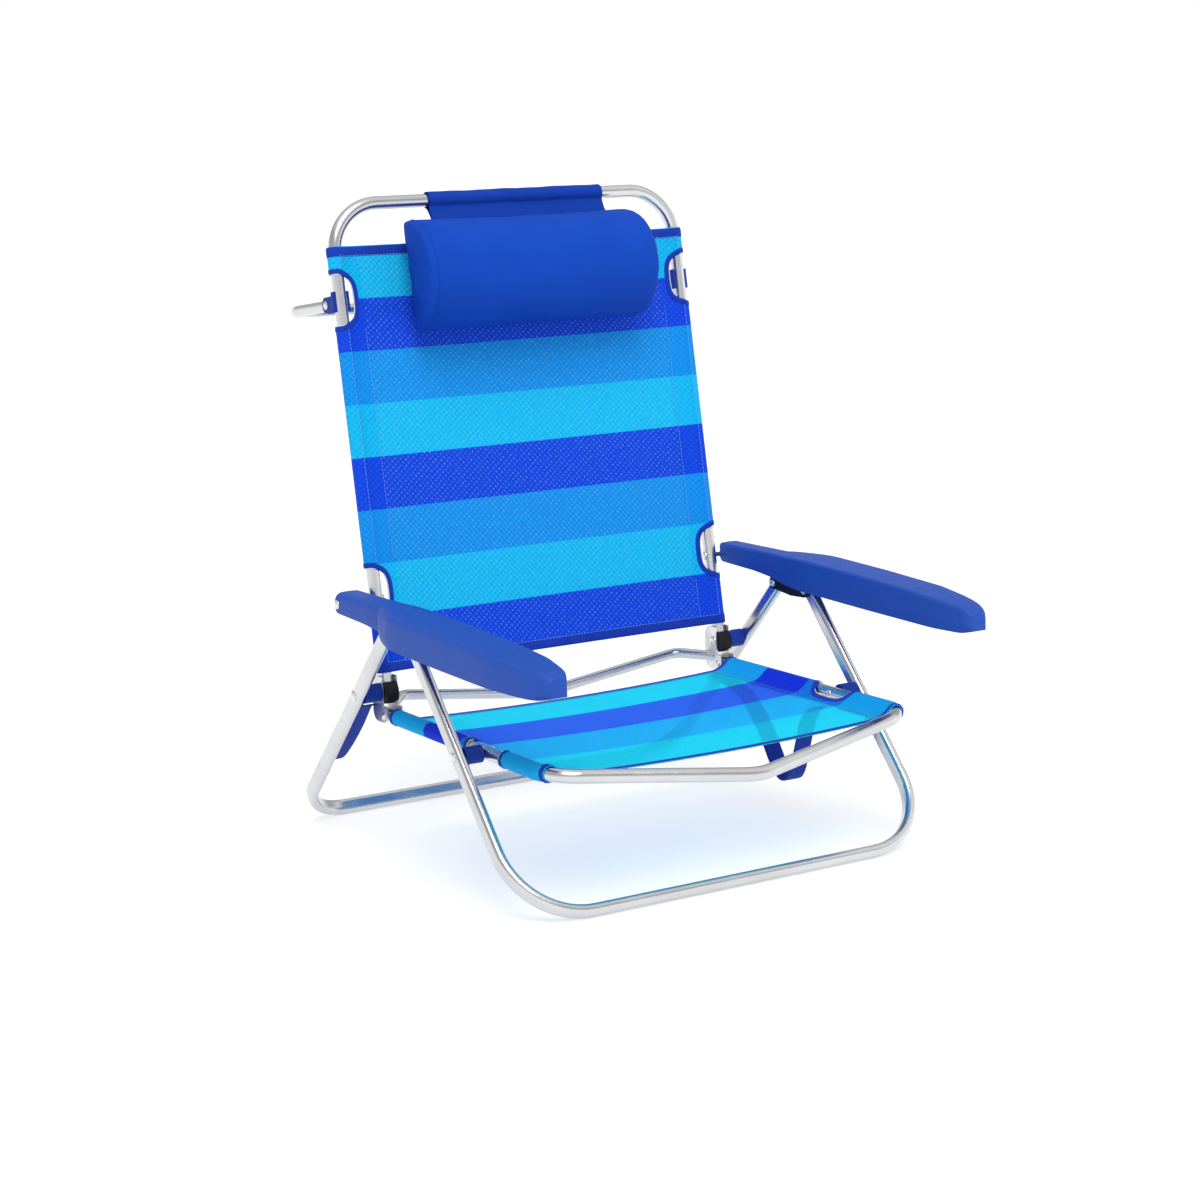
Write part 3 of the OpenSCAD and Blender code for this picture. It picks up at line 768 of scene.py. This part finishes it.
    def dress(self, prefix):
        """Tape on the ends and round the notches, a pale strip beside it as a painted highlight on its inner edge,
        and the stitch lines.
        """
        tape_thick, notch_tape, highlight_off = 0.0013, 0.0034, 0.0036
        tapes, lines, highlight_lines = [], [], []
        u_end = self.length[-1] * 0.985
        top = self.u_at(TUBE_X - self.EDGE)
        for s, inward in ((self.span[0], 1), (self.span[1], -1)):
            place = s + inward * (self.tape + 0.0004)
            half = [u_end * k / 100 for k in range(101)]
            line = [(-u, place) for u in reversed(half)] + [(u, place) for u in half[1:]]
            tapes.append(self.band(prefix, line, self.tape, tape_thick, TAPE))
            seam, reach = place + inward * (self.tape - 0.0012), self.u_at(TUBE_X - 0.002)
            lines.append([(u, seam) for u, _ in line if abs(u) < reach])
        for lo, hi in self.notches:
            middle_s = (lo + hi) / 2
            for side in (1, -1):
                sleeve = [side * (top + (u_end - top) * k / 12) for k in range(1, 13)]
                line = [(u, lo - 0.0015) for u in reversed(sleeve)]
                for k in range(25):
                    s = middle_s - (hi - lo) / 2 * math.cos(math.pi * k / 24)
                    s = min(max(s, lo + 1e-4), hi - 1e-4)
                    line.append((side * self.u_at(min(self.notch_edge(s) - 0.001, TUBE_X - self.EDGE)), s))
                line += [(u, hi + 0.0015) for u in sleeve]
                tapes.append(self.band(prefix, line, notch_tape, tape_thick, TAPE))
                highlight_lines.append([(u + side * highlight_off, s) if abs(u) < top else
                              (u, s + math.copysign(highlight_off, middle_s - s)) for u, s in line])
        # The pale strips beside the notch tapes are a painted highlight
        highlight_strips = [self.band(prefix, line, 0.0006, 0.0008, PAINTED_HIGHLIGHT_TAPE) for line in highlight_lines]
        hem_u = self.u_at(TUBE_X - self.HEM + 0.002)
        tube_u = self.u_at(TUBE_X - 0.0015)
        for side in (1, -1):
            for lo, hi in self.runs():
                count = max(2, round((hi - lo) / 0.01))
                for u in (hem_u, tube_u):
                    lines.append([(side * u, lo + (hi - lo) * k / count) for k in range(count + 1)])
        return join(prefix + "_binding", tapes + highlight_strips), self.stitches(prefix + "_stitches", lines)

    def runs(self):
        """Stretches of s beside the hems that no notch cuts."""
        from_end, from_notch = 0.011, 0.004
        lo = self.span[0] + from_end
        found = []
        for a, b in sorted(self.notches):
            found.append((lo, a - from_notch))
            lo = b + from_notch
        found.append((lo, self.span[1] - from_end))
        return found


def mm(*values):
    return [v / 1000 for v in values]


NOTCH_DEPTH = 0.027
seat_low, seat_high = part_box("seat_fabric")
SEAT_SPAN = (seat_low.y, seat_high.y)
seat_panel = Slung(origin=Vector((0, 0, SEAT_Z)), along=Vector((0, 1, 0)), out=Vector((0, 0, 1)),
                   span=SEAT_SPAN, notches=[(at(0, -107, 0).y, at(0, -28, 0).y)], depth=NOTCH_DEPTH,
                   pinch_h=-0.0045, sag=0.0055, tape=0.0038, bend_from=at(0, -169, 0).y, bend_r=0.042)
back_panel = Slung(origin=REAR, along=UP_BACK, out=OUT_BACK,
                   span=tuple(mm(22, 527.5)), notches=[tuple(mm(84, 149)), tuple(mm(432, 497))], depth=NOTCH_DEPTH,
                   pinch_h=0.003, sag=0.0075, tape=0.0062, bend_from=0.517, bend_r=0.06)

HEM_X = TUBE_X - Slung.HEM
back_edges = mm(87, 150.7, 214.8, 277.1, 339.8, 402.6, 465)
seat_length = SEAT_SPAN[1] - SEAT_SPAN[0]
seat_edges = [SEAT_SPAN[0] + seat_length * k / 4 for k in (1, 2, 3)]
BACK_STRIPES = mesh_cloth("back_mesh", UP_BACK, REAR, back_edges, BACK_TONES, [deeper(c) for c in BACK_TONES],
                          cell=0.0074, holes=0.22, hem_x=HEM_X)
SEAT_STRIPES = mesh_cloth("seat_mesh", (0, 1, 0), (0, 0, 0), seat_edges, SEAT_TONES, SLEEVE_TONES,
                          cell=0.0034, holes=0.52, hem_x=HEM_X)


def hang_fabric(panel, name, body, node, material):
    cloth = panel.mesh(name, material)
    finished(cloth, body, "striped_mesh", node)
    tape, seams = panel.dress(name)
    for extra in (tape, seams):
        finished(extra, body, "striped_mesh", node)


hang_fabric(seat_panel, "seat_cloth", "seat_frame", "seat_fabric", SEAT_STRIPES)
hang_fabric(back_panel, "back_cloth", "back", "back_fabric", BACK_STRIPES)

# ---------- pillow ----------


def on_back(x, forward, s):
    """A point at x, in front of the back's plane, and s up it from the rear pivot."""
    return REAR + Vector((x, 0, 0)) + OUT_BACK * forward + UP_BACK * s


PILLOW_X = (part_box("pillow")[0].x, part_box("pillow")[1].x)
PILLOW_S = 0.4852  # its middle, up the back from the rear pivot
PILLOW_R = 0.0712
PILLOW_BACK = 0.0105  # its flat side, in front of the tubes' middle plane
PILLOW_STATIONS = 40
VOXEL = 0.0052
PRESSURE = 2.0
FRAMES = 20
PUFF_CAP = 0.0035  # how far the simulation may move a point


def pillow_outline(scale, count=64):
    """D shape: flat against the back, round in front, with softly turned corners."""
    front, flat, mid = 0.0085, 0.0112, 0.034
    points = []
    for k in range(count):
        a = 2 * math.pi * k / count
        c = math.cos(a)
        forward = front + PILLOW_R * c if c > 0.06 else PILLOW_BACK + 0.0016 * (1 + c)
        points.append((max(forward, flat), math.sin(a) * PILLOW_R))
    return [((f - mid) * scale + mid, h * scale) for f, h in points]


def rounded(gap, size):
    """From 0 at an end to 1 at size away from it, along a quarter circle."""
    return math.sqrt(max(0, 1 - (1 - min(gap, size) / size) ** 2))


def make_pillow():
    rings = []
    x0, x1 = PILLOW_X
    for i in range(PILLOW_STATIONS + 1):
        x = x0 + 0.003 + (x1 - x0 - 0.006) * i / PILLOW_STATIONS
        scale = (0.93 + 0.07 * rounded(x - x0, 0.012)) * (0.8 + 0.2 * rounded(x1 - x, 0.016))
        # A little small, because the simulation fills it out
        rings.append([on_back(x, fwd, PILLOW_S + h) for fwd, h in pillow_outline(scale * 0.965)])
    pillow = loft("head_pillow", rings, PILLOW_CLOTH)
    bpy.context.view_layer.objects.active = pillow
    pillow.select_set(True)
    remesh = modifier(pillow, "REMESH", mode="VOXEL", voxel_size=VOXEL)
    remesh.use_smooth_shade = True
    bpy.ops.object.modifier_apply(modifier=remesh.name)
    before = [v.co.copy() for v in pillow.data.vertices]
    cloth = modifier(pillow, "CLOTH")
    settings = cloth.settings
    settings.use_pressure = True
    settings.uniform_pressure_force = PRESSURE
    settings.effector_weights.gravity = 0
    settings.tension_stiffness = 25
    settings.compression_stiffness = 12
    settings.bending_stiffness = 8.0
    settings.quality = 6
    scene = bpy.context.scene
    for step in range(1, FRAMES + 1):
        scene.frame_set(step)
    moved = pillow.evaluated_get(bpy.context.evaluated_depsgraph_get())
    after = [v.co.copy() for v in moved.data.vertices]
    pillow.modifiers.remove(cloth)
    limit_back = PILLOW_BACK - 0.0005
    for v, a, b in zip(pillow.data.vertices, before, after):
        d = b - a
        if d.length > PUFF_CAP:
            d *= PUFF_CAP / d.length
        p = a + d
        depth = (p - REAR).dot(OUT_BACK)
        if depth < limit_back:
            p += OUT_BACK * (limit_back - depth)
        v.co = p
    scene.frame_set(1)
    for p in pillow.data.polygons:
        p.use_smooth = True
    modifier(pillow, "SUBSURF", levels=1, render_levels=1)
    finished(pillow, "head_pillow", "pillow_fabric", "pillow")
    return pillow


head_pillow = make_pillow()


def pillow_seam(name, x, radius):
    """A piped seam round the pillow at x, lying on its finished skin."""
    skin = BVHTree.FromObject(head_pillow, bpy.context.evaluated_depsgraph_get())
    spots = [skin.find_nearest(on_back(x, fwd, PILLOW_S + h)) for fwd, h in pillow_outline(1.0, 120)]
    places = [Vector((x, p.y, p.z)) for p, _, _, _ in spots]
    count = len(places)
    places = [(places[i - 1] + places[i] * 2 + places[(i + 1) % count]) / 4 for i in range(count)]
    rings = []
    for i, c in enumerate(places):
        t = (places[(i + 1) % count] - places[i - 1]).normalized()
        n = X_AXIS.cross(t)
        rings.append([c + (n * math.cos(q) + X_AXIS * math.sin(q)) * radius
                      for q in (2 * math.pi * k / 8 for k in range(8))])
    rings.append(rings[0])
    return loft(name, rings, PILLOW_CLOTH, caps=False)


seam = pillow_seam("pillow_seam", PILLOW_X[0] + 0.0135, 0.0009)
finished(seam, "head_pillow", "pillow_fabric", "pillow")

LOOP_R = 0.0098
LOOP_TURN = (-50, 312)  # degrees: where the loop's turn round the tube starts, and how far it goes
# (forward of the back's plane, below the top tube's middle), in metres
FRONT_FLAP = [(0.0075, 0.0125), (0.01, 0.02), (0.014, 0.028), (0.018, 0.036)]
REAR_FLAP = [(0.0025, 0.0135), (0.0055, 0.0185), (0.0088, 0.0245), (0.0155, 0.036)]
LOOP_COLUMNS = 60


def make_sleeve():
    """The loop round the top tube that carries the pillow. Its two flaps run down behind the pillow's top."""
    x0, x1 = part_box("pillow_sleeve")[0].x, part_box("pillow_sleeve")[1].x
    length = (TOP - REAR).length
    line = [(forward, length - below) for forward, below in reversed(FRONT_FLAP)]
    for k in range(27):
        a = math.radians(LOOP_TURN[0] + LOOP_TURN[1] * k / 26)
        line.append((LOOP_R * math.cos(a) + 0.0004, length + LOOP_R * math.sin(a)))
    line += [(forward, length - below) for forward, below in REAR_FLAP]
    rings = []
    for i in range(LOOP_COLUMNS + 1):
        x = x0 + (x1 - x0) * i / LOOP_COLUMNS
        ripple = 0.00035 * math.sin(i * 0.31) + 0.0002 * math.sin(i * 0.73 + 1)
        rings.append([on_back(x, f + ripple * (1 if f > 0 else 0.4), s + ripple * 0.6) for f, s in line])
    # The loop's cloth is the pillow's cloth in a darker copy: painted shade
    sleeve = loft("pillow_loop", rings, PILLOW_CLOTH_SHADED, closed=False, caps=False)
    modifier(sleeve, "SOLIDIFY", thickness=0.0012, offset=0)
    modifier(sleeve, "SUBSURF", levels=1, render_levels=1)
    finished(sleeve, "head_pillow", "pillow_fabric", "pillow_sleeve")


make_sleeve()

# ---------- armrests ----------


def lerp_table(table, y):
    """Value at y from a short list of (y, value) stations, with the corners eased, more so towards the tip."""
    def straight(y):
        if y >= table[0][0]:
            return table[0][1]
        for (y0, v0), (y1, v1) in zip(table, table[1:]):
            if y >= y1:
                return v0 + (v1 - v0) * (y0 - y) / (y0 - y1)
        return table[-1][1]
    ease = 9 if y < 60 else 1.5
    weights = ((-2, 0.1), (-1, 0.2), (0, 0.4), (1, 0.2), (2, 0.1))
    return sum(w * straight(y + k * ease / 2) for k, w in weights)


# Stations along the armrest, in millimetres from rear to tip
ARM_OUTER = [(212, 287), (89, 287), (86, 291), (62, 299.5), (34, 306), (10, 306.8), (-80, 306), (-192, 304.5),
             (-262, 296), (-285, 288), (-293, 282)]
ARM_INNER = [(212, 255), (100, 254), (60, 250.5), (-180, 250.2), (-240, 250.5), (-284, 256.5), (-293, 261)]
ARM_TOP = [(212, 314.6), (20, 314.8), (-90, 311), (-192, 306), (-240, 302), (-283, 296.5), (-293, 291)]
ARM_LOW = [(212, 298.5), (203.5, 290.8), (130, 288), (92, 284.5), (62, 280), (30, 276), (-100, 271.7),
           (-230, 268.2), (-283, 267.7), (-293, 271)]
ARM_STATIONS = ([212.6, 212, 211.2, 210, 207, 203.5] + [200 - 6 * k for k in range(18)]
                + [92, 90, 89, 88, 87, 86, 84, 80] + [74 - 6.1 * k for k in range(59)]
                + [-284, -288, -291, -292.6])
SOLID_ENDS = (3, 4)  # stations at the rear and at the tip that aren't hollow
ARM_WALL = 2.6
ARM_CROWN = 0.3
R_IN, R_OUT = 4, 9.5  # radii of the top's inner and outer edges, where there is room


def arm_section(y, inset, side):
    """The armrest's arch at y, from the inner bottom edge over the top to the outer one."""
    outer, inner = lerp_table(ARM_OUTER, y) - inset, lerp_table(ARM_INNER, y) + inset
    top, low = lerp_table(ARM_TOP, y) - inset, lerp_table(ARM_LOW, y)
    width = outer - inner
    tall = top - low
    r_in, r_out = min(R_IN, width / 3, tall * 0.6), min(R_OUT, width / 2.4, tall * 0.7)
    points = [(inner, low), (inner, low + (tall - r_in) / 2)]
    for k in range(6):
        a = math.radians(180 - 90 * k / 5)
        points.append((inner + r_in + r_in * math.cos(a), top - r_in + r_in * math.sin(a)))
    points.append(((inner + r_in + outer - r_out) / 2, top + ARM_CROWN))
    for k in range(8):
        a = math.radians(90 - 90 * k / 7)
        points.append((outer - r_out + r_out * math.cos(a), top - r_out + r_out * math.sin(a)))
    points += [(outer, low + (tall - r_out) / 2), (outer, low)]
    return [at(side * x, y, z) for x, z in points]


def make_armrest(side, name, node):
    """A moulded shell with rounded ends, hollow from below between its solid ends."""
    shell = []
    for y in ARM_STATIONS:
        rear_inset = max(0.0, (y - 207) / 5.6) ** 2 * 3.2
        tip_inset = max(0.0, (-285 - y) / 7.6) ** 2 * 3.2
        shell.append(arm_section(y, rear_inset + tip_inset, side))
    first = SOLID_ENDS[0]
    lining = [arm_section(y, ARM_WALL, side) for y in ARM_STATIONS[first:-SOLID_ENDS[1]]]
    n, m = len(shell[0]), len(lining)
    base, last = len(shell) * n, first + m - 1
    inside, outside = base + (m - 1) * n, (len(shell) - 1) * n
    verts = [v for ring in shell + lining for v in ring]
    faces = []
    for i in range(len(shell) - 1):
        for j in range(n - 1):
            faces.append((i * n + j, i * n + j + 1, (i + 1) * n + j + 1, (i + 1) * n + j))
    faces.append(tuple(range(n)))
    faces.append(tuple(outside + j for j in reversed(range(n))))
    for i in range(m - 1):
        a, b = base + i * n, base + (i + 1) * n
        for j in range(n - 1):
            faces.append((b + j, b + j + 1, a + j + 1, a + j))
    faces.append(tuple(base + j for j in reversed(range(n))))
    faces.append(tuple(inside + j for j in range(n)))
    # The rim that joins the two skins along the bottom edges, and the bottoms of the solid ends
    for j in (0, n - 1):
        for i in range(m - 1):
            k = i + first
            faces.append((k * n + j, (k + 1) * n + j, base + (i + 1) * n + j, base + i * n + j))
    faces.append((first * n, base, base + n - 1, first * n + n - 1))
    faces.append((last * n, last * n + n - 1, inside + n - 1, inside))
    for i in list(range(first)) + list(range(last, len(shell) - 1)):
        faces.append((i * n, (i + 1) * n, (i + 1) * n + n - 1, i * n + n - 1))
    arm = outward(new_object(name, verts, faces, ARM_PLASTIC))
    modifier(arm, "WEIGHTED_NORMAL", keep_sharp=True)
    finished(arm, "armrests", "arm_plastic", node)


make_armrest(1, "armrest_shell_left", "armrest_left")
make_armrest(-1, "armrest_shell_right", "armrest_right")

# ---------- straps ----------


def smooth_line(points, steps):
    """Catmull-Rom curve through points."""
    out = []
    for i in range(len(points) - 1):
        a, b, c, d = (points[min(max(i + k, 0), len(points) - 1)] for k in (-1, 0, 1, 2))
        for k in range(steps):
            f = k / steps
            out.append(0.5 * (2 * b + (c - a) * f + (2 * a - 5 * b + 4 * c - d) * f * f
                              + (3 * b - a - 3 * c + d) * f ** 3))
    out.append(points[-1])
    return out


STRAP_HALF = 0.0009
STRAP_RIB = 0.00016


def make_strap(name, node, x, width, route):
    """Flat ribbed webbing along a route of (y, z) in millimetres, width millimetres across x."""
    line = smooth_line([at(x, y, z) for y, z in route], 6)
    rings = []
    for i, p in enumerate(line):
        ahead = (line[min(i + 1, len(line) - 1)] - line[max(i - 1, 0)]).normalized()
        n = X_AXIS.cross(ahead).normalized()
        upper, lower = [], []
        for f in (k / 6 for k in range(-6, 7)):
            across = p + X_AXIS * (width / 2000) * f
            edge = STRAP_HALF * (1 - 0.45 * f ** 8)
            upper.append(across + n * (edge + STRAP_RIB * math.cos(f * 6 * math.pi)))
            lower.append(across - n * edge)
        rings.append(upper + lower[::-1])
    strap = loft(name, rings, STRAP_CLOTH)
    finished(strap, "seat_frame", "webbing", node)


# The left strap hangs in a slack V under the seat, and the right one in a loop behind the near rear leg
make_strap("carry_strap_left", "strap_left", 216, 24,
           [(166, 154), (140, 151), (98, 140), (60, 108), (32, 68), (16, 52), (0, 51), (-12, 66),
            (-24, 100), (-38, 134), (-56, 150)])
make_strap("carry_strap_right", "strap_right", -257.2, 19,
           [(190, 178), (204, 174), (217, 161), (233, 144), (258, 121), (283, 101), (299, 92), (306, 95),
            (301, 104), (284, 118), (261, 140), (235, 165), (216, 184), (201, 196)])

# ---------- CAD pieces that stay ----------

KEPT = {
    "frame_metal": METAL, "plate_metal": PLATE, "fastener_metal": FASTENER, "black_plastic": BLACK,
    "blue_plastic": BLUE_PLASTIC, "arm_plastic": ARM_PLASTIC,
}
BEVELLED = ("plate_metal", "black_plastic", "blue_plastic")
for part in record["subparts"]:
    o = frame["nodes"][part["node"]]
    material = KEPT.get(part["material_slot"])
    if material is None:
        continue
    for slot in o.material_slots:
        slot.link = "OBJECT"
        slot.material = material
    if part["material_slot"] in BEVELLED:
        modifier(o, "BEVEL", width=0.0007, segments=2, limit_method="ANGLE", angle_limit=math.radians(40))

# ---------- floor ----------

bpy.ops.mesh.primitive_plane_add(size=FLOOR_SIZE, location=(0, 0, 0))
floor = bpy.context.object
floor.name = "floor"
floor.data.materials.append(floor_paint())
